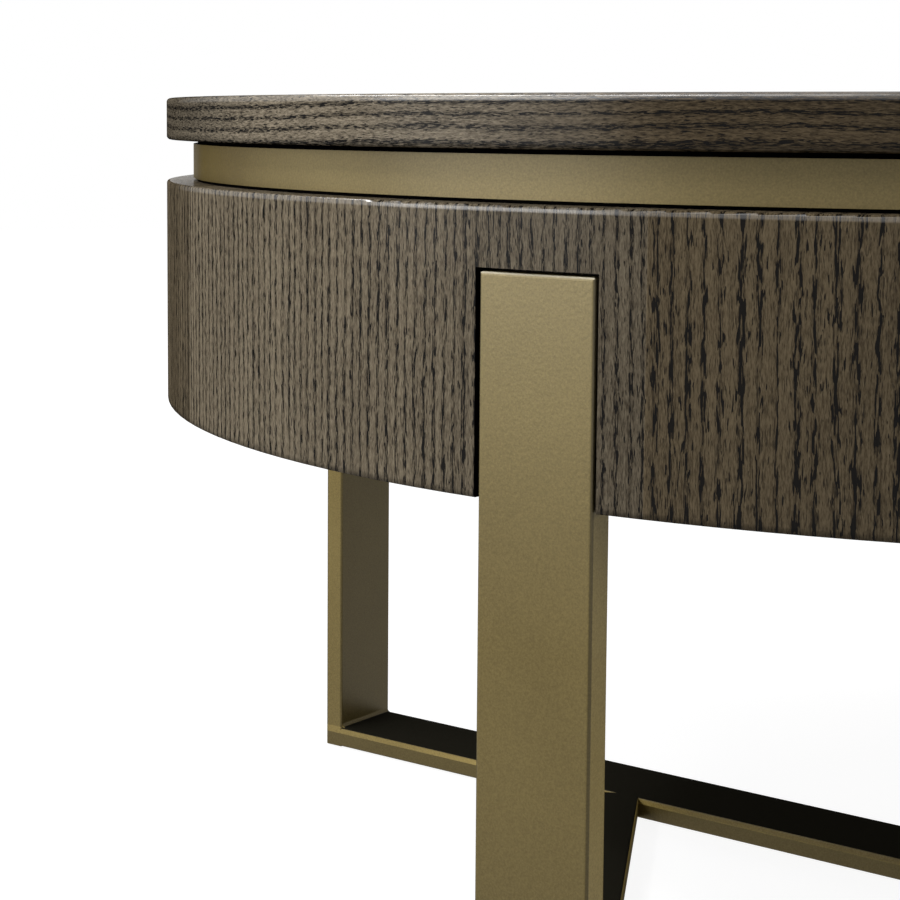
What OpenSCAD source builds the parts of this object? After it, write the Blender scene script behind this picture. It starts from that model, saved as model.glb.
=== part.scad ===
// Round storage coffee table: an oak drum with two bow-front drawers, under a round top
// on a recessed metal band, carried by four flat metal legs joined by bars on the floor.
// Millimetres. The origin is on the floor under the middle of the table, +Z up, and the
// front drawer faces -Y. The back half is the front half turned through 180 degrees.

/* [Table] */
// Diameter of the top and of the drum
table_d = 900; // [860:10:1000]
// Height of the top surface above the floor
table_h = 437; // [400:1:480]
// Glue line between wooden pieces that meet on a curve
glue_line = 0.2; // [0.1:0.1:0.4]

/* [Top] */
// Thickness of the top
top_t = 21.5; // [18:0.5:30]
// Width of the solid oak lipping round the top
lip_w = 14; // [8:1:30]
// Rounding of the lipping's edges
lip_edge_r = 2; // [1:0.5:3]

/* [Neck] */
// Height of the space between the drum and the top
neck_h = 21.5; // [16:0.5:40]
// How far the metal band stands back from the drum's surface
neck_inset = 14; // [8:1:20]
// Thickness of the metal band
band_t = 2; // [1:0.5:3]
// Dark gap under the band
band_low_gap = 1.5; // [1:0.5:4]
// Dark gap above the band
band_high_gap = 2.2; // [1:0.1:4]
// Width of the spacer ring inside the band
neck_ring_w = 104; // [80:1:130]

/* [Drum] */
// Height of the drum wall
drum_h = 115.5; // [108:0.5:150]
// Rounding of the drum's edges
drum_edge_r = 1; // [0.5:0.5:2]
// Thickness of the drum wall
wall_t = 18; // [16:1:24]
// Distance from the drum's top edge down to the top of a leg
leg_drop = 26; // [20:0.5:40]
// Gap between a leg and each side of its notch, at the drum's surface
notch_gap = 1.7; // [1.5:0.1:4]
// Gap between the top of a leg and its notch
notch_top_gap = 1.5; // [1:0.5:4]

/* [Carcass] */
// Thickness of the carcass top board
carcass_top_t = 15; // [12:1:18]
// Thickness of the carcass bottom board
carcass_bottom_t = 12; // [9:1:15]
// How far the bottom board stands up from the drum's lower edge
bottom_lift = 4; // [2:1:8]
// Thickness of the dividers beside the drawers
divider_t = 15; // [12:1:22]
// Thickness of the cross rail between the drawers
rail_t = 18; // [12:1:30]
// Width of a leg block
block_w = 84; // [70:1:100]
// Depth of a leg block behind the drum wall
block_d = 42; // [30:1:50]

/* [Legs and floor bars] */
// Width of the legs and of the long floor bar
leg_w = 53; // [44:1:60]
// Thickness of the legs
leg_t = 13; // [8:0.5:13]
// How far a leg's corners lie inside the drum's surface
leg_inset = 0.2; // [0.1:0.1:1]
// Thickness of the floor bars
bar_t = 13; // [8:0.5:14]
// Rounding of the metal edges
arris_r = 1.5; // [0.5:0.5:3]
// Width of the two short floor bars
brace_w = 37; // [34:1:42]
// Angle of a short bar from the middle line of its leg
brace_angle = 28; // [20:1:35]
// Fillet where a floor bar meets the inner face of a leg
weld_r = 3; // [2:0.5:6]

/* [Drawers] */
// Clear width of the opening for a drawer, between its dividers
opening_w = 360; // [300:5:370]
// Gap on each side of a drawer front, at the drum's surface
front_gap = 2; // [1:0.5:3]
// Gap above a drawer front
front_top_gap = 0.5; // [0.5:0.1:2]
// How far the drawers are pulled out
drawer_open = 0; // [0:10:320]
// Height of the drawer sides
side_h = 72; // [64:1:76]
// Thickness of the drawer sides and back
side_t = 12; // [10:1:14]
// Space under the drawer sides
side_lift = 4; // [3:0.5:6]
// Space left above the drawer back
back_drop = 5; // [2:1:10]
// Thickness of the drawer bottom
floor_t = 6; // [5:0.5:8]
// Height of the drawer bottom above the lower edge of the sides
floor_lift = 8; // [6:1:12]
// Depth of the grooves that hold the drawer bottom
groove_d = 6; // [4:0.5:7]
// Play of the drawer bottom and the sides in their grooves
groove_play = 0.2; // [0.1:0.1:0.4]
// Wood left between a side's housing and the face of the drawer front
housing_web = 9; // [6:0.5:10]
// Number of tails at each back corner
tail_count = 2; // [1:1:3]
// Spread of a tail, its extra width at the end on each side
tail_spread = 2; // [1:0.5:3]
// Width of the finger pull under a drawer front
pull_w = 130; // [100:5:160]
// Depth of the finger pull into the drawer front
pull_d = 9; // [6:1:11]
// Height of the finger pull
pull_h = 14; // [10:1:18]
// How far the bottom board is cut back behind the finger pull
pull_back = 20; // [14:1:30]

/* [Runners] */
// Height of the cabinet member of a runner
runner_h = 35; // [34:1:40]
// Space between a divider and a drawer side
runner_space = 13; // [12.7:0.1:15]
// Thickness of the runners' sheet steel
sheet_t = 1.2; // [1:0.1:1.2]
// Play between two members of a runner
runner_play = 0.4; // [0.3:0.1:0.5]
// Depth of the cabinet member
outer_depth = 8.5; // [8:0.1:9]
// Depth of the middle member's mouth from the divider
middle_depth = 10.9; // [10.6:0.1:11.2]
// Height of the lips of the cabinet member
outer_lip = 4; // [3.5:0.1:4.5]
// Height of the lips of the middle member
middle_lip = 3.6; // [3:0.1:4]
// Distance from the front end of a divider to its runner
runner_setback = 6; // [4:1:12]
// Height of the runners' middle line above the lower edge of the drawer sides
runner_lift = 36; // [30:1:38]

/* [Hardware] */
// Radius of the leg bolts
bolt_r = 4; // [3:0.5:5]
// Radius of the leg bolts' heads
bolt_head_r = 6.5; // [5.5:0.5:8]
// Height of the leg bolts' heads
bolt_head_h = 8; // [5:0.5:8]
// Width across flats of the hexagon socket in a bolt's head
socket_w = 6; // [4:0.5:6]
// Metal left between a tapped hole and the leg's outer face
tap_web = 3.5; // [2:0.5:5]
// Depth of a tapped hole beyond the end of its bolt
tap_spare = 0.5; // [0.2:0.1:1]
// Distance from the top of a leg down to its upper bolt
bolt_drop = 22; // [16:1:24]
// Distance between the two bolts of a leg
bolt_pitch = 30; // [24:1:32]
// Radius of the leg bolts' washers
washer_r = 9; // [8:0.5:11]
// Thickness of the leg bolts' washers
washer_t = 1.6; // [1:0.1:2.5]
// Number of screws that hold the top
top_screw_count = 8; // [8:8:16]
// Depth of the top screws in the top
top_screw_bite = 13; // [10:1:15]
// Radius of the screws that hold the top and the bottom board
screw_r = 2.5; // [2:0.25:3]
// Radius of the screws' countersunk heads
screw_head_r = 4.8; // [4:0.2:6]
// Depth of the bottom screws in the dividers and the rail
bottom_screw_bite = 24; // [16:1:30]
// Distance of the outer bottom screws from the cross rail
bottom_screw_place = 330; // [250:5:350]
// Depth of a screw's pilot hole beyond the end of the screw
screw_spare = 1; // [0.5:0.5:2]
// Clearance round a bolt or screw where it passes through
bolt_clearance = 0.3; // [0.2:0.1:0.6]
// Clearance round a bolt or screw where it bites
thread_fit = 0.05; // [0.02:0.01:0.08]
// Radius of the floor glides
glide_r = 12; // [8:1:14]
// How far the glides stand out under the floor bars
glide_proud = 1; // [0.5:0.5:4]
// Depth of the recesses that hold the glides
glide_seat = 3; // [2:0.5:5]
// Clearance round a glide in its recess
glide_fit = 0.2; // [0.1:0.1:0.4]
// Distance from a leg's inner face to the middle of its glide
glide_place = 30; // [26:1:60]
// Radius of the drawer bumpers
bumper_r = 5; // [4:0.5:8]
// Thickness of the drawer bumpers
bumper_t = 4; // [2:0.5:6]
// Distance between the two bumpers of a drawer
bumper_pitch = 200; // [120:10:240]
// Running gap between a shut drawer and its bumpers
bumper_gap = 0.3; // [0.2:0.1:0.6]

/* [Hidden] */

table_r = table_d / 2;
round_fn = 180;
small_fn = 32;
// Longer than any piece, for cutting shapes
far = 2 * table_d;
// How far a cutting shape reaches past the face that it cuts
over = 1;
// The same for a cone, whose size at that face counts
cone_over = 0.01;

// Heights above the floor
bar_z = glide_proud;
bar_top_z = bar_z + bar_t;
top_z = table_h - top_t;
neck_z = top_z - neck_h;
drum_z = neck_z - drum_h;
leg_top_z = neck_z - leg_drop;
notch_top_z = leg_top_z + notch_top_gap;
bottom_z = drum_z + bottom_lift;
inside_z = bottom_z + carcass_bottom_t;
ceiling_z = neck_z - carcass_top_t;
inside_h = ceiling_z - inside_z;

// Radii and planes measured from the table's axis
wall_in_r = table_r - wall_t;
carcass_r = wall_in_r - glue_line;
band_r = table_r - neck_inset;
neck_ring_r = band_r - band_t - glue_line;
leg_face = sqrt(table_r * table_r - leg_w * leg_w / 4) - leg_inset;
leg_back = leg_face - leg_t;
block_face = carcass_r - block_d;
tap_end = leg_face - tap_web;
top_screw_place = neck_ring_r - neck_ring_w / 2;

// Angles about the table's axis, from the middle of a piece to its radial cuts
notch_angle = asin((leg_w / 2 + notch_gap) / table_r);
open_angle = asin(opening_w / 2 / wall_in_r);
front_angle = open_angle - asin(front_gap / table_r);

// The four legs stand on the diagonals
front_left_angle = 225;
back_left_angle = 135;
front_right_angle = 315;
back_right_angle = 45;
leg_angles = [front_left_angle, back_left_angle, front_right_angle, back_right_angle];

// Drawer places, for the front drawer
opening_x = opening_w / 2;
divider_x = opening_x + divider_t;
side_out_x = opening_x - runner_space;
side_in_x = side_out_x - side_t;
side_z = inside_z + side_lift;
floor_z = side_z + floor_lift;
back_z = floor_z + floor_t + groove_play;
back_h = side_z + side_h - back_drop - back_z;
drawer_end_y = -(rail_t / 2 + bumper_t + bumper_gap);
housing_y = -(sqrt(table_r * table_r - side_out_x * side_out_x) - housing_web);
runner_front_y = -(sqrt(carcass_r * carcass_r - divider_x * divider_x) - runner_setback);
runner_back_y = drawer_end_y - side_t;
runner_len = runner_back_y - runner_front_y;
runner_z = side_z + runner_lift;
bumper_z = back_z + back_h / 2;

// Runner section, measured from the divider and from the runner's middle line
outer_half = runner_h / 2;
middle_half = outer_half - sheet_t - runner_play;
mouth_half = outer_half - outer_lip - runner_play;
inner_half = mouth_half - sheet_t - runner_play;
inner_mouth_half = mouth_half - middle_lip - runner_play;
middle_shoulder = outer_depth - sheet_t - runner_play;
inner_shoulder = middle_depth - sheet_t - runner_play;
middle_web = sheet_t + runner_play;
inner_start = 2 * middle_web + runner_play;

oak = [0.37, 0.33, 0.28];
bronze = [0.52, 0.47, 0.31];
board = [0.16, 0.15, 0.14];
drawer_wood = [0.72, 0.62, 0.47];
steel = [0.70, 0.71, 0.72];
black_nylon = [0.08, 0.08, 0.08];

// Rectangle centred on the origin, with round corners
module round_rect(w, h, r) {
    square([w - 2 * r, h], center = true);
    square([w, h - 2 * r], center = true);
    for (x = [-1, 1], y = [-1, 1])
        translate([x * (w / 2 - r), y * (h / 2 - r)]) circle(r, $fn = small_fn);
}

// Upright plate outline standing on z0, with round upper corners
module plate_outline(w, z0, z1, r) {
    translate([-w / 2, z0]) square([w, z1 - z0 - r]);
    translate([-w / 2 + r, z0]) square([w - 2 * r, z1 - z0]);
    for (x = [-1, 1]) translate([x * (w / 2 - r), z1 - r]) circle(r, $fn = small_fn);
}

// Extrudes an outline drawn in the YZ plane along +X
module along_x(length) {
    rotate([90, 0, 90]) linear_extrude(length) children();
}

// Extrudes an outline drawn in the XZ plane from y0 towards +Y
module along_y(y0, length) {
    translate([0, y0 + length, 0]) rotate([90, 0, 0]) linear_extrude(length) children();
}

// Ring between two radii and two heights, with its outer edges rounded
module round_edged_ring(r_in, r_out, z0, z1, edge_r) {
    rotate_extrude($fn = round_fn) {
        translate([r_in, z0]) square([r_out - r_in - edge_r, z1 - z0]);
        translate([r_in, z0 + edge_r]) square([r_out - r_in, z1 - z0 - 2 * edge_r]);
        for (z = [z0 + edge_r, z1 - edge_r])
            translate([r_out - edge_r, z]) circle(edge_r, $fn = small_fn);
    }
}

module disc(r, z0, z1) {
    translate([0, 0, z0]) cylinder(r = r, h = z1 - z0, $fn = round_fn);
}

// Box given by its two opposite corners
module box(low, high) {
    translate(low) cube(high - low);
}

// Wedge about the table's axis, on both sides of the middle angle
module sector(middle, half) {
    rays = [for (k = [-1, -0.5, 0, 0.5, 1]) middle + k * half];
    linear_extrude(table_h)
        polygon(concat([[0, 0]], [for (a = rays) far * [cos(a), sin(a)]]));
}

// Turns a front piece to its side of the table, pulled out by its share of the drawer's way
module slid(back, share) {
    rotate([0, 0, back ? 180 : 0]) translate([0, -share * drawer_open, 0]) children();
}

// Top

module top_panel() {
    color(oak) difference() {
        disc(table_r - lip_w - glue_line, top_z, table_h);
        at_top_screws()
            translate([0, 0, top_z - over])
                cylinder(r = screw_r + thread_fit, h = top_screw_bite + screw_spare + over,
                         $fn = small_fn);
    }
}

module top_lipping() {
    color(oak) round_edged_ring(table_r - lip_w, table_r, top_z, table_h, lip_edge_r);
}

module neck_ring() {
    color(board) difference() {
        disc(neck_ring_r, neck_z, top_z);
        disc(neck_ring_r - neck_ring_w, neck_z - over, top_z + over);
        at_top_screws() screw_passage();
    }
}

module neck_band() {
    color(bronze) difference() {
        disc(band_r, neck_z + band_low_gap, top_z - band_high_gap);
        disc(band_r - band_t, neck_z, top_z);
    }
}

// Drum wall

module leg_notch(angle) {
    intersection() {
        rotate([0, 0, angle]) box([leg_back, -far, drum_z - over], [far, far, notch_top_z]);
        sector(angle, notch_angle);
    }
}

module left_half_of_drum() {
    difference() {
        intersection() {
            round_edged_ring(wall_in_r, table_r, drum_z, neck_z, drum_edge_r);
            sector(180, 90 - open_angle);
        }
        for (a = [front_left_angle, back_left_angle]) {
            leg_notch(a);
            leg_bolt_passages(a);
        }
    }
}

module left_apron() {
    color(oak) left_half_of_drum();
}

module right_apron() {
    color(oak) rotate([0, 0, 180]) left_half_of_drum();
}

// Carcass inside the drum

module carcass_top() {
    color(board) difference() {
        disc(carcass_r, ceiling_z, neck_z);
        at_top_screws() {
            screw_passage();
            translate([0, 0, ceiling_z - cone_over])
                cylinder(r1 = screw_head_r + bolt_clearance, r2 = screw_r + bolt_clearance,
                         h = screw_head_r - screw_r, $fn = small_fn);
        }
    }
}

module carcass_bottom() {
    color(board) difference() {
        disc(carcass_r, bottom_z, inside_z);
        for (side = [-1, 1])
            translate([0, side * carcass_r, 0])
                box([-pull_w / 2, -pull_back, bottom_z - over],
                    [pull_w / 2, pull_back, inside_z + over]);
        at_bottom_screws() {
            translate([0, 0, bottom_z - over])
                cylinder(r = screw_r + bolt_clearance, h = carcass_bottom_t + 2 * over,
                         $fn = small_fn);
            translate([0, 0, bottom_z - cone_over])
                cylinder(r1 = screw_head_r + bolt_clearance, r2 = screw_r + bolt_clearance,
                         h = screw_head_r - screw_r, $fn = small_fn);
        }
    }
}

module divider_board() {
    difference() {
        intersection() {
            box([opening_x, -far, inside_z], [divider_x, far, ceiling_z]);
            disc(carcass_r, 0, table_h);
        }
        at_bottom_screws() screw_pilot();
    }
}

module right_divider() {
    color(board) divider_board();
}

module left_divider() {
    color(board) rotate([0, 0, 180]) divider_board();
}

module cross_rail() {
    color(board) box([-opening_x, -rail_t / 2, inside_z], [opening_x, rail_t / 2, ceiling_z]);
}

module leg_blocks() {
    color(drawer_wood) for (a = leg_angles) difference() {
        intersection() {
            rotate([0, 0, a])
                box([block_face, -block_w / 2, inside_z], [far, block_w / 2, ceiling_z]);
            disc(carcass_r, 0, table_h);
        }
        leg_bolt_passages(a);
    }
}

// Legs and floor frame

// A leg in its own frame: +X points out from the table's axis
module leg_body() {
    intersection() {
        translate([leg_back + leg_t / 2, 0, bar_z])
            linear_extrude(leg_top_z - bar_z) round_rect(leg_t, leg_w, arris_r);
        translate([leg_back - over, 0, 0])
            along_x(leg_t + 2 * over) plate_outline(leg_w, bar_z, leg_top_z, arris_r);
        translate([leg_back + leg_t / 2, 0, 0])
            along_y(-leg_w, 2 * leg_w) plate_outline(leg_t, bar_z, leg_top_z, arris_r);
    }
}

// The foot is square on the inside, where the floor bar is welded to it
module leg_foot() {
    box([leg_back, -leg_w / 2, bar_z], [leg_back + arris_r, leg_w / 2, bar_top_z - arris_r]);
}

module leg(angle) {
    color(bronze) difference() {
        rotate([0, 0, angle]) {
            leg_body();
            leg_foot();
        }
        at_leg_bolts(angle)
            translate([0, 0, leg_back - over])
                cylinder(r = bolt_r + thread_fit, h = tap_end - leg_back + over, $fn = small_fn);
    }
}

module front_left_leg() {
    leg(front_left_angle);
}

module back_left_leg() {
    leg(back_left_angle);
}

module front_right_leg() {
    leg(front_right_angle);
}

module back_right_leg() {
    leg(back_right_angle);
}

module glide_recess() {
    translate([0, 0, bar_z - over])
        cylinder(r = glide_r + glide_fit, h = glide_seat + over, $fn = small_fn);
}

// The long bar along X, between the inner faces of two opposite legs
module long_bar_body() {
    translate([-leg_back, 0, bar_z + bar_t / 2])
        along_x(2 * leg_back) round_rect(leg_w, bar_t, arris_r);
}

module long_floor_bar() {
    color(bronze) rotate([0, 0, back_left_angle]) difference() {
        long_bar_body();
        for (side = [-1, 1]) translate([side * (leg_back - glide_place), 0, 0]) glide_recess();
    }
}

// Places its children in the frame of the short bar: the origin is at the leg's edge,
// -X runs along the bar to the long bar and +Y across it
module at_short_bar(angle) {
    rotate([0, 0, angle])
        translate([leg_back, -leg_w / 2, 0])
            rotate([0, 0, brace_angle])
                children();
}

module short_floor_bar(angle) {
    color(bronze) difference() {
        intersection() {
            at_short_bar(angle)
                translate([-table_r, brace_w / 2, bar_z + bar_t / 2])
                    along_x(table_r + leg_w) round_rect(brace_w, bar_t, arris_r);
            rotate([0, 0, angle])
                box([leg_w / 2 - arris_r, -far, 0], [leg_back, far, table_h]);
        }
        rotate([0, 0, back_left_angle]) long_bar_body();
        at_short_bar(angle) translate([-glide_place, brace_w / 2, 0]) glide_recess();
    }
}

module front_floor_bar() {
    short_floor_bar(front_left_angle);
}

module back_floor_bar() {
    short_floor_bar(back_right_angle);
}

// Concave fillet along a leg's inner face, from y0 to y1
module weld(y0, y1) {
    along_y(y0, y1 - y0) difference() {
        translate([leg_back - weld_r, bar_top_z]) square(weld_r);
        translate([leg_back - weld_r, bar_top_z + weld_r]) circle(weld_r, $fn = small_fn);
    }
}

module corner_welds() {
    short_end = -leg_w / 2 + brace_w / cos(brace_angle);
    color(bronze) {
        for (a = [back_left_angle, front_right_angle])
            rotate([0, 0, a]) weld(-leg_w / 2 + arris_r, leg_w / 2 - arris_r);
        for (a = [front_left_angle, back_right_angle])
            rotate([0, 0, a])
                weld(-leg_w / 2 + arris_r + weld_r, short_end - arris_r - weld_r);
    }
}

module glide() {
    cylinder(r = glide_r, h = glide_proud + glide_seat, $fn = small_fn);
}

module floor_glides() {
    color(black_nylon) {
        for (a = [back_left_angle, front_right_angle])
            rotate([0, 0, a]) translate([leg_back - glide_place, 0, 0]) glide();
        for (a = [front_left_angle, back_right_angle])
            at_short_bar(a) translate([-glide_place, brace_w / 2, 0]) glide();
    }
}

// Bolts and screws

// Places its children on a leg's two bolt axes, +Z pointing out from the table's axis
module at_leg_bolts(angle) {
    for (i = [0, 1])
        rotate([0, 0, angle])
            translate([0, 0, leg_top_z - bolt_drop - i * bolt_pitch])
                rotate([0, 90, 0])
                    children();
}

module leg_bolt_passages(angle) {
    at_leg_bolts(angle)
        translate([0, 0, block_face - over])
            cylinder(r = bolt_r + bolt_clearance, h = wall_t + block_d + 2 * over, $fn = small_fn);
}

module leg_bolts() {
    head_z = block_face - washer_t - bolt_head_h;
    socket_r = socket_w / sqrt(3);
    socket_depth = bolt_head_h / 2;
    color(steel) for (a = leg_angles) at_leg_bolts(a) difference() {
        union() {
            translate([0, 0, head_z]) cylinder(r = bolt_head_r, h = bolt_head_h, $fn = small_fn);
            translate([0, 0, head_z + socket_depth])
                cylinder(r = bolt_r, h = tap_end - tap_spare - head_z - socket_depth,
                         $fn = small_fn);
        }
        translate([0, 0, head_z - over])
            cylinder(r = socket_r, h = socket_depth + over, $fn = 6);
    }
}

module leg_washers() {
    color(steel) for (a = leg_angles) at_leg_bolts(a)
        translate([0, 0, block_face - washer_t]) difference() {
            cylinder(r = washer_r, h = washer_t, $fn = small_fn);
            translate([0, 0, -over])
                cylinder(r = bolt_r + bolt_clearance, h = washer_t + 2 * over, $fn = small_fn);
        }
}

module at_top_screws() {
    step = 360 / top_screw_count;
    for (i = [0 : top_screw_count - 1])
        rotate([0, 0, step * (i + 0.5)]) translate([top_screw_place, 0, 0]) children();
}

module screw_passage() {
    translate([0, 0, ceiling_z - over])
        cylinder(r = screw_r + bolt_clearance, h = carcass_top_t + neck_h + 2 * over,
                 $fn = small_fn);
}

// Countersunk screw standing on its head
module screw(length) {
    cylinder(r1 = screw_head_r, r2 = screw_r, h = screw_head_r - screw_r, $fn = small_fn);
    cylinder(r = screw_r, h = length, $fn = small_fn);
}

module top_screws() {
    color(steel) at_top_screws()
        translate([0, 0, ceiling_z]) screw(carcass_top_t + neck_h + top_screw_bite);
}

// Two screws into each divider on each side of the rail, and two into the rail
module at_bottom_screws() {
    middle_x = opening_x + divider_t / 2;
    for (x = [-1, 1], y = [-1, 1])
        translate([x * middle_x, y * bottom_screw_place, 0]) children();
    for (x = [-1, 1]) translate([x * middle_x, 0, 0]) children();
}

module screw_pilot() {
    translate([0, 0, inside_z - over])
        cylinder(r = screw_r + thread_fit, h = bottom_screw_bite + screw_spare + over,
                 $fn = small_fn);
}

module bottom_screws() {
    color(steel) at_bottom_screws()
        translate([0, 0, bottom_z]) screw(carcass_bottom_t + bottom_screw_bite);
}

module drawer_bumpers() {
    color(black_nylon) for (side = [0, 180]) rotate([0, 0, side])
        for (x = [-1, 1])
            translate([x * bumper_pitch / 2, -rail_t / 2, bumper_z])
                rotate([90, 0, 0]) cylinder(r = bumper_r, h = bumper_t, $fn = small_fn);
}

// Runners: three nested steel sections. Each outline is drawn for a divider on the left
// of its drawer, with x away from the divider and y up from the runner's middle line

module both_edges() {
    children();
    mirror([0, 1]) children();
}

module outer_section() {
    translate([0, -outer_half]) square([sheet_t, runner_h]);
    both_edges() {
        translate([0, outer_half - sheet_t]) square([outer_depth, sheet_t]);
        translate([outer_depth - sheet_t, outer_half - outer_lip]) square([sheet_t, outer_lip]);
    }
}

module middle_section() {
    step_x = middle_shoulder - sheet_t;
    translate([middle_web, -middle_half]) square([sheet_t, 2 * middle_half]);
    both_edges() {
        translate([middle_web, middle_half - sheet_t])
            square([middle_shoulder - middle_web, sheet_t]);
        translate([step_x, mouth_half - sheet_t])
            square([sheet_t, middle_half - mouth_half + sheet_t]);
        translate([step_x, mouth_half - sheet_t]) square([middle_depth - step_x, sheet_t]);
        translate([middle_depth - sheet_t, mouth_half - middle_lip])
            square([sheet_t, middle_lip]);
    }
}

module inner_section() {
    step_x = inner_shoulder - sheet_t;
    translate([runner_space - sheet_t, -inner_mouth_half])
        square([sheet_t, 2 * inner_mouth_half]);
    both_edges() {
        translate([step_x, inner_mouth_half - sheet_t])
            square([runner_space - step_x, sheet_t]);
        translate([step_x, inner_mouth_half - sheet_t])
            square([sheet_t, inner_half - inner_mouth_half + sheet_t]);
        translate([inner_start, inner_half - sheet_t])
            square([inner_shoulder - inner_start, sheet_t]);
    }
}

// Both runners of a drawer, with the section given as a child
module runner_pair(back, share) {
    color(steel) slid(back, share) for (side = [0, 1])
        mirror([side, 0, 0])
            translate([-opening_x, 0, runner_z])
                along_y(runner_front_y, runner_len) children();
}

module front_runner_outers() {
    runner_pair(false, 0) outer_section();
}

module front_runner_middles() {
    runner_pair(false, 0.5) middle_section();
}

module front_runner_inners() {
    runner_pair(false, 1) inner_section();
}

module back_runner_outers() {
    runner_pair(true, 0) outer_section();
}

module back_runner_middles() {
    runner_pair(true, 0.5) middle_section();
}

module back_runner_inners() {
    runner_pair(true, 1) inner_section();
}

// Drawers. Every drawer piece is drawn for the front drawer

module drawer_front(back) {
    color(oak) slid(back, 1) difference() {
        intersection() {
            round_edged_ring(wall_in_r, table_r, drum_z, neck_z - front_top_gap, drum_edge_r);
            sector(270, front_angle);
        }
        for (side = [0, 1]) mirror([side, 0, 0])
            box([side_in_x - groove_play, housing_y - groove_play, side_z - groove_play],
                [side_out_x + groove_play, 0, side_z + side_h + groove_play]);
        intersection() {
            disc(wall_in_r + groove_d, floor_z - groove_play, floor_z + floor_t + groove_play);
            box([-side_in_x, -far, 0], [side_in_x, 0, table_h]);
        }
        intersection() {
            disc(wall_in_r + pull_d, drum_z - over, drum_z + pull_h);
            box([-pull_w / 2, -far, 0], [pull_w / 2, 0, table_h]);
        }
    }
}

// The tails of one back corner, in the YZ plane: narrow at the shoulder, wide at the end
module tails() {
    pitch = back_h / tail_count;
    half = pitch / 4;
    for (i = [0 : tail_count - 1])
        translate([0, back_z + pitch * (i + 0.5)])
            polygon([
                [drawer_end_y - side_t, -half],
                [drawer_end_y, -half - tail_spread],
                [drawer_end_y, half + tail_spread],
                [drawer_end_y - side_t, half]
            ]);
}

module right_side_board() {
    difference() {
        union() {
            box([side_in_x, housing_y, side_z],
                [side_out_x, drawer_end_y - side_t, side_z + side_h]);
            box([side_in_x, housing_y, side_z], [side_out_x, drawer_end_y, back_z]);
            translate([side_in_x, 0, 0]) along_x(side_t) tails();
        }
        box([side_in_x - over, -far, floor_z - groove_play],
            [side_in_x + groove_d, 0, floor_z + floor_t + groove_play]);
    }
}

module drawer_side(back, left) {
    color(drawer_wood) slid(back, 1) mirror([left ? 1 : 0, 0, 0]) right_side_board();
}

module drawer_back(back) {
    color(drawer_wood) slid(back, 1) difference() {
        box([-side_out_x, drawer_end_y - side_t, back_z],
            [side_out_x, drawer_end_y, back_z + back_h]);
        for (side = [0, 1]) mirror([side, 0, 0])
            translate([side_in_x, 0, 0]) along_x(side_t + over) tails();
    }
}

module drawer_bottom(back) {
    color(drawer_wood) slid(back, 1) intersection() {
        disc(wall_in_r + groove_d - groove_play, floor_z, floor_z + floor_t);
        box([-side_in_x + groove_play, -far, 0], [side_in_x - groove_play, drawer_end_y, table_h]);
    }
}

module front_drawer_front() {
    drawer_front(false);
}

module front_drawer_left_side() {
    drawer_side(false, true);
}

module front_drawer_right_side() {
    drawer_side(false, false);
}

module front_drawer_back() {
    drawer_back(false);
}

module front_drawer_bottom() {
    drawer_bottom(false);
}

module back_drawer_front() {
    drawer_front(true);
}

module back_drawer_left_side() {
    drawer_side(true, true);
}

module back_drawer_right_side() {
    drawer_side(true, false);
}

module back_drawer_back() {
    drawer_back(true);
}

module back_drawer_bottom() {
    drawer_bottom(true);
}

top_panel();
top_lipping();
neck_ring();
neck_band();
left_apron();
right_apron();
carcass_top();
carcass_bottom();
left_divider();
right_divider();
cross_rail();
leg_blocks();
front_left_leg();
back_left_leg();
front_right_leg();
back_right_leg();
long_floor_bar();
front_floor_bar();
back_floor_bar();
corner_welds();
floor_glides();
leg_bolts();
leg_washers();
top_screws();
bottom_screws();
drawer_bumpers();
front_runner_outers();
front_runner_middles();
front_runner_inners();
front_drawer_front();
front_drawer_left_side();
front_drawer_right_side();
front_drawer_back();
front_drawer_bottom();
back_runner_outers();
back_runner_middles();
back_runner_inners();
back_drawer_front();
back_drawer_left_side();
back_drawer_right_side();
back_drawer_back();
back_drawer_bottom();
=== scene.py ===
import math

import bmesh
import bpy
from bpy.props import FloatProperty, FloatVectorProperty, IntProperty, PointerProperty
from mathutils import Matrix, Quaternion, Vector


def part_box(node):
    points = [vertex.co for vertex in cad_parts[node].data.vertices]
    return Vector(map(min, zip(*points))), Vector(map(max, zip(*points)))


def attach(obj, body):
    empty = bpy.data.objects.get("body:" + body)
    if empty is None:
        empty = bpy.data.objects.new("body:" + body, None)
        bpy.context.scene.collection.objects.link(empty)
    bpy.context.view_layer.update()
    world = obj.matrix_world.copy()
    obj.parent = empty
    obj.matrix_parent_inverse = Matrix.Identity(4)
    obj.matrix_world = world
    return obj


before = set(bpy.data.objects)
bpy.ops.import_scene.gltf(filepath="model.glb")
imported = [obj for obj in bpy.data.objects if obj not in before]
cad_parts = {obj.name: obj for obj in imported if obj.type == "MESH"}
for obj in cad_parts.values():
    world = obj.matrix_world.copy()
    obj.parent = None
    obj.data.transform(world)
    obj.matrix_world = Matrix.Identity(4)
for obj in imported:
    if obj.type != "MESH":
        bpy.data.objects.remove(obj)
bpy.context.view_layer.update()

bl_info = {
    "name": "Round Storage Coffee Table",
    "version": (1, 0, 0),
    "blender": (4, 5, 0),
    "location": "3D View > Sidebar > Coffee Table",
    "description": "Finishes, small fittings and studio for a round oak and bronze coffee table",
    "category": "Object",
}

# Measures of the frame, in metres

TABLE_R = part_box("top_lipping")[1].x
LIPPING_LOW, LIPPING_TOP = (corner.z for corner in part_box("top_lipping"))
DRUM_LOW, DRUM_TOP = (corner.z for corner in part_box("left_apron"))
LEG_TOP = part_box("front_left_leg")[1].z
BAR_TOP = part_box("long_floor_bar")[1].z
SIDES = ("front", "back")

# Measures of the finishes, in metres. Lacquer softens both arrises beyond the mesh's rounding.

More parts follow.
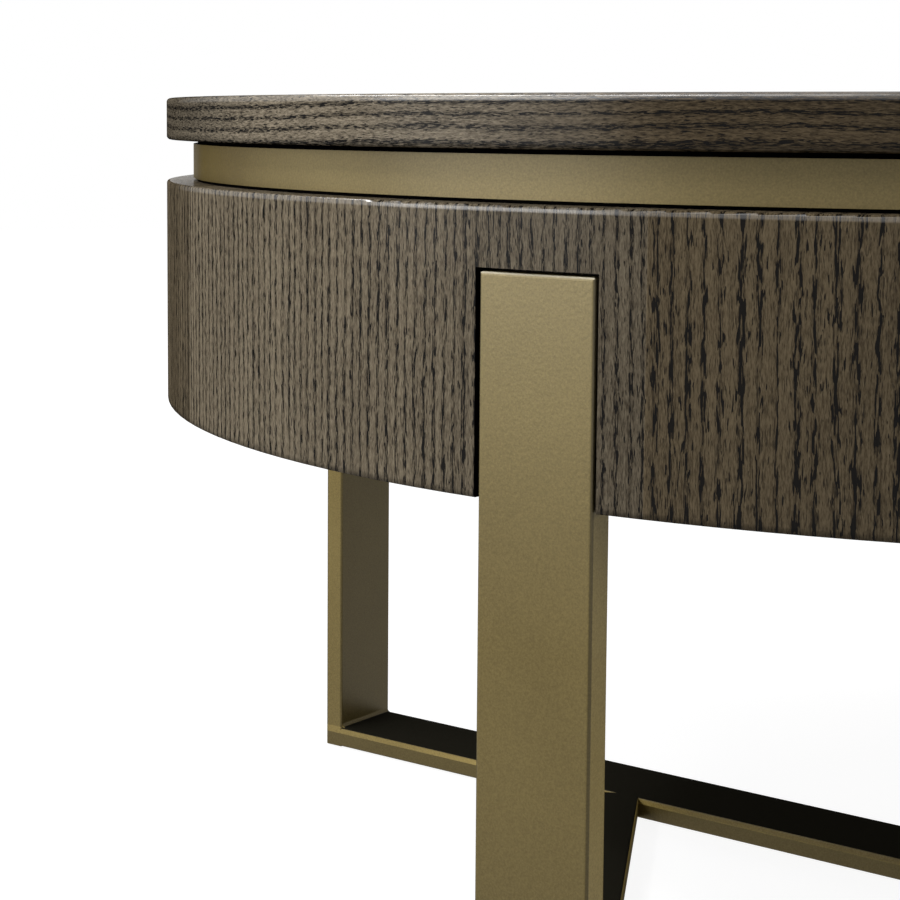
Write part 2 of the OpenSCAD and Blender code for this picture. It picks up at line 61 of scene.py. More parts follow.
LIPPING_ARRIS = 0.0035
DRUM_ARRIS = 0.003
TOP_LEAF_W = 0.19
RUNNER_SHEET = 0.0012    # steel of the runners' drawer members


def srgb(red, green, blue):
    """Scene-linear colour from three 8-bit screen values."""
    def one(value):
        share = value / 255
        return share / 12.92 if share <= 0.04045 else ((share + 0.055) / 1.055) ** 2.4
    return one(red), one(green), one(blue)


def opaque(colour, factor=1.0):
    """Colour with full alpha, made lighter or darker by a factor."""
    return (*[min(1.0, factor * part) for part in colour[:3]], 1.0)


WHITE = opaque((1.0, 1.0, 1.0))


# Sizes and colours that a user would change


def colour_property(name, description, colour):
    return FloatVectorProperty(name=name, description=description, default=colour,
                               subtype="COLOR", size=3, min=0.0, max=2.0)


def length_property(name, description, metres, low, high):
    return FloatProperty(name=name, description=description, default=metres, min=low, max=high,
                         subtype="DISTANCE", unit="LENGTH", precision=4)


def share_property(name, description, share):
    return FloatProperty(name=name, description=description, default=share, min=0.0, max=1.0,
                         subtype="FACTOR")


def angle_property(name, description, degrees):
    return FloatProperty(name=name, description=description, default=math.radians(degrees),
                         subtype="ANGLE", unit="ROTATION")


def power_property(name, description, watts):
    return FloatProperty(name=name, description=description, default=watts, min=0.0,
                         unit="POWER")


class OakSettings(bpy.types.PropertyGroup):
    """Stained oak of the top and the drum"""

    light: colour_property("Light Wood", "Stained wood between the pores", srgb(145, 133, 112))
    dark: colour_property("Dark Wood", "Stained wood along the growth rings", srgb(82, 72, 58))
    edge_light: colour_property("Light Lipping", "Light wood of the top's lipping",
                                srgb(157, 145, 125))
    edge_dark: colour_property("Dark Lipping", "Dark wood of the top's lipping", srgb(60, 53, 43))
    pore: colour_property("Pores", "Stain gathered in the open pores", srgb(17, 16, 16))
    ring_spacing: length_property("Ring Spacing", "Distance between two rows of pores",
                                  0.0053, 0.002, 0.02)
    pore_amount: share_property("Pore Amount", "How much of a ring its pores fill", 0.5)
    # Painted shadow: the cut ends sit in the gaps round the legs and drawers
    cut: colour_property("Painted Cut-End Shadow", "Stain on the cut ends of the drum's wall", srgb(16, 14, 13))
    pore_width: length_property("Pore Width", "Width of the open pores", 0.00055, 0.0002, 0.002)
    pore_depth: length_property("Pore Depth", "Depth of the open pores", 0.00025, 0.0, 0.002)
    leaf_count: IntProperty(name="Veneer Leaves", description="Leaves of veneer round the drum",
                            default=9, min=1, max=30)
    lipping_joint: angle_property("Lipping Joint", "Place of one joint in the lipping", 165.0)
    first_joint: angle_property("First Joint", "Place of one joint between two leaves", 231.1)
    crack: angle_property("Crack", "Place of the open crack at the drum's upper edge", 222.5)
    roughness: share_property("Roughness", "Roughness of the matt lacquer", 0.52)
    lacquer: share_property("Lacquer", "Gloss of the lacquer on arrises and level faces", 1.0)


class BronzeSettings(bpy.types.PropertyGroup):
    """Champagne bronze paint of the metalwork"""

    light: colour_property("Light Flakes", "Lighter metal flakes of the paint", srgb(140, 123, 73))
    dark: colour_property("Dark Flakes", "Darker metal flakes of the paint", srgb(104, 89, 47))
    bar_top: colour_property("Bar Tops", "Near-black finish on the floor bars' upper faces",
                             srgb(41, 39, 32))
    # Painted highlight colour: the legs' top and upper arris, and a faint even sheen on the band
    painted_highlight: colour_property("Painted Highlight", "Pale metal along the legs' upper edge",
                            srgb(250, 242, 215))
    flake: length_property("Flake Size", "Size of the paint's flakes", 0.0009, 0.0003, 0.005)
    ripple: length_property("Ripple", "Height of the paint's ripple", 0.00014, 0.0, 0.001)
    metallic: share_property("Metallic", "Share of metal flakes in the paint", 0.2)
    lacquer: share_property("Clear Coat", "Gloss of the clear coat over the flakes", 0.5)
    roughness: share_property("Roughness", "Roughness of the satin paint", 0.36)


class InsideSettings(bpy.types.PropertyGroup):
    """Boards, drawers and hardware"""

    board: colour_property("Carcass", "Black paint of the carcass boards", srgb(13, 12, 12))
    drawer_light: colour_property("Light Beech", "Lighter wood of the drawers",
                                  srgb(205, 176, 138))
    drawer_dark: colour_property("Dark Beech", "Darker wood of the drawers", srgb(178, 144, 104))
    steel: colour_property("Steel", "Zinc-plated steel", srgb(186, 189, 193))
    nylon: colour_property("Nylon", "Moulded nylon of the glides", srgb(26, 26, 27))
    rubber: colour_property("Rubber", "Rubber of the drawer bumpers", srgb(34, 33, 33))
    screw_radius: length_property("Screw Heads", "Radius of the runners' screw heads",
                                  0.0036, 0.002, 0.005)
    screw_pitch: length_property("Screw Pitch", "Distance between two screws of a runner",
                                 0.128, 0.05, 0.17)


class StudioSettings(bpy.types.PropertyGroup):
    """Floor, lamps and camera"""

    floor_radius: length_property("Floor", "Radius of the studio floor", 7.0, 2.0, 30.0)
    key_power: power_property("Key Softbox", "Power of the near softbox", 2.7)
    high_power: power_property("High Softbox", "Power of the near, high softbox", 2.8)
    rim_power: power_property("Rim Strip", "Power of the high strip on the left", 8.5)
    arris_power: power_property("Arris Strip", "Power of the high near strip", 5.5)
    right_power: power_property("Right Softbox", "Power of the right softbox", 22.0)
    back_power: power_property("Back Softbox", "Power of the softbox behind", 22.0)
    top_power: power_property("Top Softbox", "Power of the softbox overhead", 12.0)
    ambient: share_property("Room Light", "Even light from the room", 0.03)
    lens: FloatProperty(name="Lens", description="Focal length of the camera", default=84.735,
                        min=10.0, max=300.0, unit="CAMERA")


# Helpers for shader nodes

NUMBER = "NodeSocketFloat"
VECTOR = "NodeSocketVector"
MIX_FIRST, MIX_SECOND, MIX_RESULT = 6, 7, 2    # colour sockets of a Mix node
COLUMN_W, ROW_H = 220, 190                     # spacing of the nodes in their editor


def join(tree, value, socket):
    """Links a socket to another one, or sets it from a number, colour or vector."""
    if isinstance(value, bpy.types.NodeSocket):
        tree.links.new(value, socket)
    else:
        socket.default_value = value


def calc(tree, operation, *values, clamp=False):
    node = tree.nodes.new("ShaderNodeMath")
    node.operation = operation
    node.use_clamp = clamp
    for value, socket in zip(values, node.inputs):
        join(tree, value, socket)
    return node.outputs[0]


def plus(tree, total, *terms):
    for term in terms:
        total = calc(tree, "ADD", total, term)
    return total


def minus(tree, first, second):
    return calc(tree, "SUBTRACT", first, second)


def times(tree, product, *factors):
    for factor in factors:
        product = calc(tree, "MULTIPLY", product, factor)
    return product


def over(tree, first, second):
    return calc(tree, "DIVIDE", first, second)


def dot(tree, first, second):
    """Sum of the products of two rows of numbers."""
    return plus(tree, *[times(tree, a, b) for a, b in zip(first, second)])


def length(tree, *parts):
    return calc(tree, "SQRT", dot(tree, parts, parts))


def scaled(tree, vector, factors):
    node = tree.nodes.new("ShaderNodeVectorMath")
    node.operation = "MULTIPLY"
    join(tree, vector, node.inputs[0])
    join(tree, factors, node.inputs[1])
    return node.outputs[0]


def turned_out(tree, vector):
    """Unit vector of a direction in the object's own space, in the world's space."""
    unit = tree.nodes.new("ShaderNodeVectorMath")
    unit.operation = "NORMALIZE"
    join(tree, vector, unit.inputs[0])
    turn = tree.nodes.new("ShaderNodeVectorTransform")
    turn.vector_type = "NORMAL"
    turn.convert_from, turn.convert_to = "OBJECT", "WORLD"
    join(tree, unit.outputs[0], turn.inputs[0])
    return turn.outputs[0]


def split(tree, vector):
    node = tree.nodes.new("ShaderNodeSeparateXYZ")
    join(tree, vector, node.inputs[0])
    return node.outputs


def combined(tree, *values):
    node = tree.nodes.new("ShaderNodeCombineXYZ")
    for value, socket in zip(values, node.inputs):
        join(tree, value, socket)
    return node.outputs[0]


def noise(tree, vector, scale=1.0, detail=0.0, roughness=0.5):
    node = tree.nodes.new("ShaderNodeTexNoise")
    join(tree, vector, node.inputs["Vector"])
    join(tree, scale, node.inputs["Scale"])
    node.inputs["Detail"].default_value = detail
    node.inputs["Roughness"].default_value = roughness
    return node.outputs[0]


def remap(tree, value, low, high, to_low=0.0, to_high=1.0, smooth=False):
    """Goes from 0 at low to 1 at high, or between other numbers; low may be the larger."""
    node = tree.nodes.new("ShaderNodeMapRange")
    node.interpolation_type = "SMOOTHSTEP" if smooth else "LINEAR"
    for number, socket in zip((value, low, high, to_low, to_high), node.inputs):
        join(tree, number, socket)
    return node.outputs[0]


def between(tree, share, none, full):
    """Number that goes from one value to another as a share goes from 0 to 1."""
    return remap(tree, share, 0.0, 1.0, none, full)


def spread(tree, value):
    """Noise, which seldom leaves 0.3 to 0.7, drawn out over 0 to 1."""
    return remap(tree, value, 0.3, 0.7)


def mixed(tree, share, first, second, mode="MIX"):
    """Colour between two others."""
    node = tree.nodes.new("ShaderNodeMix")
    node.data_type = "RGBA"
    node.blend_type = mode
    join(tree, share, node.inputs[0])
    join(tree, first, node.inputs[MIX_FIRST])
    join(tree, second, node.inputs[MIX_SECOND])
    return node.outputs[MIX_RESULT]


def shaded(tree, colour, factor):
    """Colour made lighter or darker all over by one factor."""
    return mixed(tree, 1.0, colour, combined(tree, factor, factor, factor), "MULTIPLY")


def bumped(tree, height, distance, normal=None):
    node = tree.nodes.new("ShaderNodeBump")
    if normal is not None:
        join(tree, normal, node.inputs["Normal"])
    node.inputs["Strength"].default_value = 1.0
    node.inputs["Distance"].default_value = distance
    join(tree, height, node.inputs["Height"])
    return node.outputs[0]


def seen_flat(tree):
    """1 where a surface faces the eye, 0 where it is seen at a low angle."""
    turned_away = tree.nodes.new("ShaderNodeLayerWeight").outputs["Facing"]
    return remap(tree, turned_away, 0.85, 0.45)


def seen_or_mirrored(tree):
    """1 for rays from the eye, a mirror or glass, and 0 for those that carry light."""
    ray = tree.nodes.new("ShaderNodeLightPath").outputs
    return calc(tree, "MAXIMUM", ray["Is Camera Ray"],
                calc(tree, "MAXIMUM", ray["Is Glossy Ray"], ray["Is Transmission Ray"]))


def coordinates(tree):
    return tree.nodes.new("ShaderNodeTexCoord").outputs


def laid_out(tree):
    """Places the nodes in columns, each to the right of what feeds it."""
    column = {}

    def depth(node):
        if node not in column:
            feeds = [link.from_node for socket in node.inputs for link in socket.links]
            column[node] = 1 + max((depth(feed) for feed in feeds), default=-1)
        return column[node]

    rows = {}
    for node in tree.nodes:
        place = depth(node)
        rows[place] = rows.get(place, 0) + 1
        node.location = (place * COLUMN_W, -rows[place] * ROW_H)


def group_tree(name, inputs, outputs):
    """New node group with named sockets: (kind, name, default) in, (kind, name) out."""
    tree = bpy.data.node_groups.new(name, "ShaderNodeTree")
    for kind, label, default in inputs:
        socket = tree.interface.new_socket(label, in_out="INPUT", socket_type=kind)
        if default is not None:
            socket.default_value = default
    for kind, label in outputs:
        tree.interface.new_socket(label, in_out="OUTPUT", socket_type=kind)
    start = tree.nodes.new("NodeGroupInput")
    end = tree.nodes.new("NodeGroupOutput")
    return tree, start.outputs, end.inputs


# Effects that several materials use. A ramp, here and below, is where something starts and
# where it is complete, and then the numbers that it goes between where they aren't 0 and 1.

RING_ROW = (0.62, 0.12)          # from the middle of a row of pores, in half rings
PORE_EDGE = (0.642, 0.66)
FINE_PORE_EDGE = (0.64, 0.72)
CUT_ACROSS = (0.5, 0.7)
DUST_SPECK = (0.66, 0.74)
DUST_FILM = (0.35, 0.75, 0.0, 0.35)


def make_leaves(name):
    """Pieces of wood that follow each other round the table: where in its piece a point is."""
    tree, given, result = group_tree(
        name,
        [(VECTOR, "Position", None), (NUMBER, "First Joint", 0.0), (NUMBER, "Pieces", 9.0)],
        [(NUMBER, "Along Edge"), (NUMBER, "Piece"), (NUMBER, "Radius"), (NUMBER, "Variety")])
    x, y, _ = split(tree, given["Position"])
    step = over(tree, math.tau, given["Pieces"])
    turn = minus(tree, calc(tree, "ARCTAN2", y, x), given["First Joint"])
    place = over(tree, turn, step)
    piece = calc(tree, "FLOORED_MODULO", calc(tree, "FLOOR", place), given["Pieces"])
    edge = times(tree, calc(tree, "FRACT", place), step, TABLE_R)
    join(tree, edge, result["Along Edge"])
    join(tree, piece, result["Piece"])
    join(tree, length(tree, x, y), result["Radius"])
    # Neighbours differ, in an order that does not repeat
    swing = calc(tree, "COSINE", times(tree, piece, 2.0))
    join(tree, remap(tree, swing, -1.0, 1.0), result["Variety"])
    laid_out(tree)
    return tree


def make_oak_grain(name):
    """Ring-porous grain. Position is (across, depth, along) the grain, in metres."""
    tree, given, result = group_tree(
        name,
        [(VECTOR, "Position", None), (NUMBER, "Piece", 0.0), (NUMBER, "Ring Spacing", 0.0056),
         (NUMBER, "Waviness", 1.0), (NUMBER, "Pore Amount", 0.5), (NUMBER, "Pore Width", 0.0005)],
        [(NUMBER, "Pores"), (NUMBER, "Fibre"), (NUMBER, "Tone"), (NUMBER, "Height")])
    across, depth, along = split(tree, given["Position"])
    # Each piece comes from another place in the log
    piece_shift = 1.37
    shift = times(tree, given["Piece"], piece_shift)
    across, along = plus(tree, across, shift), plus(tree, along, shift)

    def cells(wood, per_metre, detail=1.0, roughness=0.5):
        return noise(tree, scaled(tree, wood, per_metre), detail=detail, roughness=roughness)

    def swayed(value, reach):
        """Noise as a sway to both sides."""
        return times(tree, minus(tree, value, 0.5), reach)

    # The rows of pores wander slowly, and waver a little
    wander, waver = 0.016, 0.0013
    log = combined(tree, across, depth, along)
    bend = times(tree, swayed(cells(log, (6.0, 6.0, 4.0)), wander), given["Waviness"])
    bent = plus(tree, across, bend, swayed(cells(log, (150.0, 150.0, 60.0)), waver))
    wood = combined(tree, bent, depth, along)
    # Rings are uneven, and their pores stand in a row on one side of the ring
    unevenness = 0.9
    ring = plus(tree, over(tree, bent, given["Ring Spacing"]),
                times(tree, cells(wood, (55.0, 0.0, 0.0)), unevenness))
    from_row = times(tree, calc(tree, "PINGPONG", ring, 0.5), 2.0)
    row = remap(tree, from_row, *RING_ROW, smooth=True)
    # Pores are the crests of a drawn-out noise: long and dense in a row, few between the rows
    least, patchiness = 0.045, 0.16
    fullness = plus(tree, times(tree, given["Pore Amount"], 0.2), least)
    patchy = cells(wood, (90.0, 40.0, 14.0))
    raised = plus(tree, times(tree, row, fullness), swayed(patchy, patchiness))
    pores_per_metre = over(tree, 1.0, given["Pore Width"])

    def strokes(shape, detail, roughness=0.5):
        return cells(wood, scaled(tree, shape, pores_per_metre), detail, roughness)

    large = plus(tree, strokes((0.8, 0.3, 0.085), 2.0, 0.55), raised)
    small = plus(tree, strokes((1.6, 0.6, 0.15), 1.0), times(tree, raised, 0.6))
    small_depth = 0.6
    pores = calc(tree, "MAXIMUM", remap(tree, large, *PORE_EDGE),
                 times(tree, remap(tree, small, *FINE_PORE_EDGE), small_depth))
    fibre = cells(wood, (1400.0, 500.0, 240.0), 2.0, 0.75)
    streaks = cells(wood, (420.0, 200.0, 20.0), 2.0, 0.6)
    broad = cells(wood, (60.0, 30.0, 5.0), 2.0)
    join(tree, pores, result["Pores"])
    join(tree, fibre, result["Fibre"])
    join(tree, dot(tree, (broad, streaks, row), (0.5, 0.8, 0.12)), result["Tone"])
    join(tree, minus(tree, times(tree, fibre, 0.3), pores), result["Height"])
    laid_out(tree)
    return tree


def make_round_wall(name):
    """True normal of a round wall and its rounded edges, free of the mesh's flat faces."""
    tree, given, result = group_tree(
        name,
        [(VECTOR, "Position", None), (VECTOR, "Face", None), (NUMBER, "Wall Radius", 0.45),
         (NUMBER, "Low", 0.0), (NUMBER, "High", 1.0), (NUMBER, "Rounding", 0.001)],
        [(VECTOR, "Normal"), (NUMBER, "Up"), (NUMBER, "Cut Wall")])
    least_radius, least_size, likeness = 0.001, 0.000001, 0.6
    x, y, z = split(tree, given["Position"])
    face = split(tree, given["Face"])[:]
    radius = calc(tree, "MAXIMUM", length(tree, x, y), least_radius)
    out_x, out_y = over(tree, x, radius), over(tree, y, radius)
    # How far a point lies in the rounding, outwards and up or down
    rounding = given["Rounding"]
    inset = minus(tree, given["Wall Radius"], rounding)
    beyond = calc(tree, "MAXIMUM", minus(tree, radius, inset), 0.0)
    above = minus(tree, z, minus(tree, given["High"], rounding))
    below = minus(tree, z, plus(tree, given["Low"], rounding))
    rise = plus(tree, calc(tree, "MAXIMUM", above, 0.0), calc(tree, "MINIMUM", below, 0.0))
    size = calc(tree, "MAXIMUM", length(tree, beyond, rise), least_size)
    flat, up = over(tree, beyond, size), over(tree, rise, size)
    true = times(tree, out_x, flat), times(tree, out_y, flat), up
    # Faces cut across the wall, and its inside, keep their own normal
    alike = calc(tree, "GREATER_THAN", dot(tree, true, face), likeness)
    own = minus(tree, 1.0, alike)
    parts = [dot(tree, pair, (alike, own)) for pair in zip(true, face)]
    join(tree, turned_out(tree, combined(tree, *parts)), result["Normal"])
    join(tree, parts[2], result["Up"])
    across = minus(tree, times(tree, out_x, face[1]), times(tree, out_y, face[0]))
    join(tree, remap(tree, calc(tree, "ABSOLUTE", across), *CUT_ACROSS), result["Cut Wall"])
    laid_out(tree)
    return tree


def make_speckle(name):
    """Fine grain of a sprayed or moulded surface."""
    tree, given, result = group_tree(
        name, [(VECTOR, "Position", None), (NUMBER, "Grain Size", 0.001)],
        [(NUMBER, "Flakes"), (NUMBER, "Cloud"), (NUMBER, "Height")])
    position = given["Position"]
    scale = over(tree, 1.0, given["Grain Size"])
    flakes = noise(tree, position, scale, detail=2.0, roughness=0.7)
    join(tree, spread(tree, flakes), result["Flakes"])
    join(tree, spread(tree, noise(tree, position, 9.0, detail=3.0)), result["Cloud"])
    ripple = noise(tree, position, times(tree, scale, 0.6), detail=1.0)
    join(tree, ripple, result["Height"])
    laid_out(tree)
    return tree


def make_dust(name):
    """Thin dust on faces that look up. Up is the height part of the surface's normal."""
    tree, given, result = group_tree(
        name, [(VECTOR, "Position", None), (NUMBER, "Up", 0.0), (NUMBER, "Amount", 0.1)],
        [(NUMBER, "Dust")])
    specks = remap(tree, noise(tree, given["Position"], 900.0, detail=2.0), *DUST_SPECK)
    film = remap(tree, noise(tree, given["Position"], 24.0, detail=3.0), *DUST_FILM)
    level = remap(tree, given["Up"], 0.9, 1.0)
    lying = times(tree, calc(tree, "MAXIMUM", specks, film), level)
    join(tree, calc(tree, "MULTIPLY", lying, given["Amount"], clamp=True), result["Dust"])
    laid_out(tree)
    return tree


GROUPS = {"Pieces Round Table": make_leaves, "Oak Grain": make_oak_grain,
          "Round Wall": make_round_wall, "Fine Speckle": make_speckle,
          "Settled Dust": make_dust}


def placed(tree, name, **values):
    """Puts a node group in a material; an input's spaces are underscores here."""
    node = tree.nodes.new("ShaderNodeGroup")
    node.node_tree = bpy.data.node_groups.get(name) or GROUPS[name](name)
    for label, value in values.items():
        join(tree, value, node.inputs[label.replace("_", " ")])
    return node.outputs


# Materials


def start_material(name, **constants):
    """New material; constants go straight on the shader's own sockets."""
    material = bpy.data.materials.new(name)
    material.use_nodes = True
    tree = material.node_tree
    shader = tree.nodes["Principled BSDF"].inputs
    for label, value in constants.items():
        shader[label.replace("_", " ")].default_value = value
    return material, tree, shader


def material_named(name, make, *settings):
    return bpy.data.materials.get(name) or make(name, *settings)


DUST_COLOUR = opaque(srgb(150, 146, 138))
DUST_AMOUNT = 0.35
OAK_SHADER = {"Specular IOR Level": 0.0, "Coat Roughness": 0.2, "Coat IOR": 1.75}
OAK_TONES = (1.45, 2.35)
ARRIS_GLOSS = (0.06, 0.4, 0.08, 1.0)    # by the height part of the normal, as the next one
LEVEL_FACE = (0.9, 0.98)
LEVEL_GLOSS = 0.22


def oak_coat(tree, up, dust, lacquer):
    """The wall is rubbed matt; the lacquer keeps its gloss on arrises and level faces."""
    level = remap(tree, up, *LEVEL_FACE)
    gloss = times(tree, remap(tree, up, *ARRIS_GLOSS, smooth=True),
                  between(tree, level, 1.0, LEVEL_GLOSS))
    coat = calc(tree, "MULTIPLY", gloss, minus(tree, lacquer, dust), clamp=True)
    # Level faces mirror a little even at a low angle
    return times(tree, coat, calc(tree, "MAXIMUM", seen_flat(tree), level))


def paint_oak(tree, shader, oak, place, grain, colours, wall=None, crack=None, shade=None):
    """Colour, sheen and relief of stained oak from its grain."""
    light, dark = colours
    pores = grain["Pores"]
    if crack is not None:
        pores = calc(tree, "MAXIMUM", pores, crack)
    fibre_weight, pore_stain = 2.4, 0.97
    share = plus(tree, times(tree, grain["Fibre"], fibre_weight), grain["Tone"])
    wood = mixed(tree, remap(tree, share, *OAK_TONES), opaque(light), opaque(dark))
    if shade is not None:
        wood = mixed(tree, 1.0, wood, shade, "MULTIPLY")
    wood = mixed(tree, times(tree, pores, pore_stain), wood, opaque(oak.pore))
    up = wall["Up"] if wall else split(tree, place["Normal"])[2]
    dust = placed(tree, "Settled Dust", Position=place["Object"], Up=up,
                  Amount=DUST_AMOUNT)["Dust"]
    wood = mixed(tree, dust, wood, DUST_COLOUR)
    coat = oak_coat(tree, up, dust, oak.lacquer)
    if wall:
        # The cut ends get a painted shadow: near-black, without lacquer
        wood = mixed(tree, wall["Cut Wall"], wood, opaque(oak.cut))
        coat = times(tree, coat, minus(tree, 1.0, wall["Cut Wall"]))
    join(tree, wood, shader["Base Color"])
    join(tree, coat, shader["Coat Weight"])
    duller = times(tree, plus(tree, pores, dust), 0.3)
    join(tree, calc(tree, "ADD", duller, oak.roughness, clamp=True), shader["Roughness"])
    join(tree, bumped(tree, grain["Height"], oak.pore_depth, wall["Normal"] if wall else None),
         shader["Normal"])


def round_wall(tree, place, low, high, rounding):
    return placed(tree, "Round Wall", Position=place["Object"], Face=place["Normal"],
                  Wall_Radius=TABLE_R, Low=low, High=high, Rounding=rounding)


CRACK_SIDE = (0.00042, 0.00018)
CRACK_LENGTH = 0.0125
CRACK_SWAY = 0.0012
GLUE_LINE = (0.0001, 0.0004, 1.3, 1.0)
# Painted shade towards each leaf's far edge
LEAF_FAR_PAINTED_SHADE = (0.2, 0.27, 1.0, 0.79)
# The lipping's strips: their own tone with painted shade over it, at their start and from their
# middle on
STRIP_START_TONE_AND_SHADE = (0.19, 0.31, 0.5, 1.0)
STRIP_END_TONE_AND_SHADE = (0.42, 0.54)
OLIVE = (0.69, 0.64, 0.55, 1.0)
WARM_TONE_AND_SHADE = (0.4, 0.35, 0.28, 1.0)


def crack_mark(tree, spot, angle):
    """Crack that runs down from the drum's upper edge, about half a millimetre wide."""
    x, y, z = split(tree, spot)
    turn = calc(tree, "WRAP", minus(tree, calc(tree, "ARCTAN2", y, x), angle),
                math.pi, -math.pi)
    bend = times(tree, noise(tree, combined(tree, 0.0, 0.0, z), 300.0), CRACK_SWAY)
    aside = plus(tree, times(tree, turn, TABLE_R), minus(tree, bend, CRACK_SWAY / 2))
    end = DRUM_TOP - CRACK_LENGTH
    return times(tree, remap(tree, calc(tree, "ABSOLUTE", aside), *CRACK_SIDE),
                 remap(tree, z, end, end + 0.2 * CRACK_LENGTH))


def drum_oak(name, oak):
    """Upright veneer round the drum, with its joints and the crack at the upper edge."""
    material, tree, shader = start_material(name, **OAK_SHADER)
    place = coordinates(tree)
    leaf = placed(tree, "Pieces Round Table", Position=place["Object"],
                  First_Joint=oak.first_joint, Pieces=float(oak.leaf_count))
    edge = leaf["Along Edge"]
    # Leaves differ: some are straight and close-grained, others wavy, open and more olive
    coarse = leaf["Variety"]
    upright = split(tree, place["Object"])[2]
    grain = placed(tree, "Oak Grain", Position=combined(tree, edge, leaf["Radius"], upright),
                   Piece=leaf["Piece"], Waviness=between(tree, coarse, 0.5, 1.1),
                   Ring_Spacing=times(tree, oak.ring_spacing, between(tree, coarse, 1.0, 1.28)),
                   Pore_Amount=oak.pore_amount,
                   Pore_Width=times(tree, oak.pore_width, between(tree, coarse, 1.0, 1.3)))
    olive = mixed(tree, coarse, WHITE, OLIVE)
    # Glue shows as a pale hairline where two leaves meet
    leaf_w = math.tau * TABLE_R / oak.leaf_count
    beside = calc(tree, "MINIMUM", edge, minus(tree, leaf_w, edge))
    glue = remap(tree, beside, *GLUE_LINE)
    # Painted shade: each leaf is darker towards its far edge
    far_edge_painted_shade = remap(tree, edge, *LEAF_FAR_PAINTED_SHADE, smooth=True)
    paint_oak(tree, shader, oak, place, grain, (oak.light, oak.dark),
              wall=round_wall(tree, place, DRUM_LOW, DRUM_TOP, DRUM_ARRIS),
              crack=crack_mark(tree, place["Object"], oak.crack),
              shade=shaded(tree, olive, times(tree, far_edge_painted_shade, glue)))
    laid_out(tree)
    return material


def lipping_oak(name, oak):
    """Solid lipping of the top, in three pieces, with the grain along the edge."""
    material, tree, shader = start_material(name, **OAK_SHADER)
    place = coordinates(tree)
    strip = placed(tree, "Pieces Round Table", Position=place["Object"],
                   First_Joint=oak.lipping_joint, Pieces=3.0)
    edge = strip["Along Edge"]
    upright = split(tree, place["Object"])[2]
    fineness = 0.72
    grain = placed(tree, "Oak Grain", Position=combined(tree, upright, strip["Radius"], edge),
                   Piece=strip["Piece"], Ring_Spacing=oak.ring_spacing, Waviness=0.7,
                   Pore_Amount=oak.pore_amount, Pore_Width=fineness * oak.pore_width)
    # Each strip is darker at its start, and dark and warm from its middle on: the wood's own tone
    # with painted shade over it
    start_tone_and_painted_shade = remap(tree, edge, *STRIP_START_TONE_AND_SHADE, smooth=True)
    end_tone_and_painted_shade = mixed(tree, remap(tree, edge, *STRIP_END_TONE_AND_SHADE, smooth=True), WHITE, WARM_TONE_AND_SHADE)
    paint_oak(tree, shader, oak, place, grain, (oak.edge_light, oak.edge_dark),
              wall=round_wall(tree, place, LIPPING_LOW, LIPPING_TOP, LIPPING_ARRIS),
              shade=shaded(tree, end_tone_and_painted_shade, start_tone_and_painted_shade))
    laid_out(tree)
    return material


def top_oak(name, oak):
    """Veneered top: straight leaves side by side."""
    material, tree, shader = start_material(name, **OAK_SHADER)
    place = coordinates(tree)
    x, y, z = split(tree, place["Object"])
    leaf = calc(tree, "FLOOR", over(tree, y, TOP_LEAF_W))
    grain = placed(tree, "Oak Grain", Position=combined(tree, y, z, x), Piece=leaf,
                   Ring_Spacing=oak.ring_spacing, Waviness=0.8,
                   Pore_Amount=oak.pore_amount, Pore_Width=oak.pore_width)
    paint_oak(tree, shader, oak, place, grain, (oak.light, oak.dark))
    laid_out(tree)
    return material


def speckled(tree, place, size):
    return placed(tree, "Fine Speckle", Position=place["Object"], Grain_Size=size)


HAIR = 0.001    # height over which one part's paint gives way to the next one's
# Painted shade on the bars' sides
BAR_SIDE_PAINTED_SHADE = 0.78
BAR_ARRIS = (BAR_TOP - 4.3 * HAIR, BAR_TOP - 3.7 * HAIR)
# Painted highlight on the bars' upper arrises, stronger near the middle
BAR_PAINTED_HIGHLIGHT = (0.28, 0.38, 1.8, 1.2)        # by the distance from the table's middle
# Painted light on the legs' sides below the drum, painted shadow on them in the notch
PAINTED_SIDE_LIGHT_AND_NOTCH_SHADOW = (DRUM_LOW - 2 * HAIR, DRUM_LOW + 2 * HAIR, 0.6, -0.75)
# Painted shade at the legs' foot, painted light towards their top, and a faint painted sheen all
# round the band
LEG_FOOT_PAINTED_SHADE = (0.04, 0.25, 0.76, 1.0)         # by the height above the floor, as the next one
LEG_TOP_PAINTED_LIGHT = (0.22, 0.36, 0.0, 0.075)
BAND_PAINTED_SHEEN = 0.04
BAND_FLAKES = (0.35, 0.75)                 # by how far the face turns from the eye
# Masks for the legs' painted highlight, painted side light and painted arris shade
LEG_OUTER = (0.2, 0.5)                     # by how far the face looks away from the middle,
LEG_SIDE = (0.3, 0.1)                      # as the next three
LEG_OUTER_ARRIS = (0.97, 0.88)
LEG_SIDE_ARRIS = (0.12, 0.35)
UPRIGHT_FACE = (0.6, 0.3)                  # by the height part of the normal, as the next one
UPPER_FACE = (0.55, 0.65)


def bar_painted_shading(tree, eased, away):
    """Painted shade on the sides, and a painted highlight on the upper arrises, strongest near the
    middle.
    """
    painted_highlight = minus(tree, remap(tree, away, *BAR_PAINTED_HIGHLIGHT), BAR_SIDE_PAINTED_SHADE)
    return plus(tree, times(tree, eased, painted_highlight), BAR_SIDE_PAINTED_SHADE)


def leg_painted_shading(tree, out, height):
    """Painted shade along the legs' upright arrises, painted light on their sides, and painted
    shadow on them in the notch.
    """
    arris_painted_shade = 0.5
    arris = times(tree, remap(tree, out, *LEG_OUTER_ARRIS),
                  remap(tree, out, *LEG_SIDE_ARRIS))
    side = remap(tree, calc(tree, "ABSOLUTE", out), *LEG_SIDE)
    painted_side_light_and_notch_shadow = remap(tree, height, *PAINTED_SIDE_LIGHT_AND_NOTCH_SHADOW)
    return minus(tree, plus(tree, times(tree, side, painted_side_light_and_notch_shadow), 1.0),
                 times(tree, arris, arris_painted_shade))


